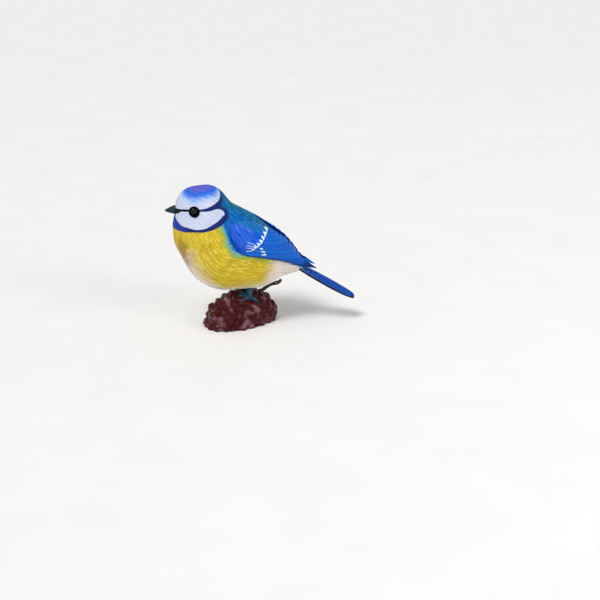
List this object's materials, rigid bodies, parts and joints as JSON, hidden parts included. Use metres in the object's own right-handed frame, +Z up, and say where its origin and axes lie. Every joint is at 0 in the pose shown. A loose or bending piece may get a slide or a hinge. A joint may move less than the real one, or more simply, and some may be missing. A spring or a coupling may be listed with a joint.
{
  "type": "blue tit figurine",
  "caption": "Small painted plastic figurine of a blue tit with folded wings, perched on a fir cone that lies on its side as the base.",
  "frame": {"origin": "middle of the cone's flat underside, on which the figurine stands", "axes": "+Z up, -X the way the bill points, -Y the bird's left side, +X towards the tail"},
  "size_m": [0.0632, 0.025, 0.048],
  "materials": {
    "head_paint": "white and blue satin paint with carved feather strokes",
    "body_paint": "yellow satin paint with carved feather strokes, teal back",
    "bill_paint": "blue-black satin paint",
    "eye_gloss": "high gloss black",
    "wing_paint": "strong blue satin paint over moulded feathers",
    "foot_paint": "slate blue paint",
    "cone_paint": "dark red-brown gloss with rubbed pinkish highlights"
  },
  "bodies": {
    "root": {"head": "head_paint", "neck": "body_paint", "trunk": "body_paint", "bill_upper": "bill_paint", "bill_lower": "bill_paint", "eye_left": "eye_gloss", "eye_right": "eye_gloss", "wing_left": "wing_paint", "wing_right": "wing_paint", "tail": "wing_paint", "foot_left": "foot_paint", "foot_right": "foot_paint", "cone": "cone_paint", "twig": "cone_paint"}
  },
  "joints": []
}
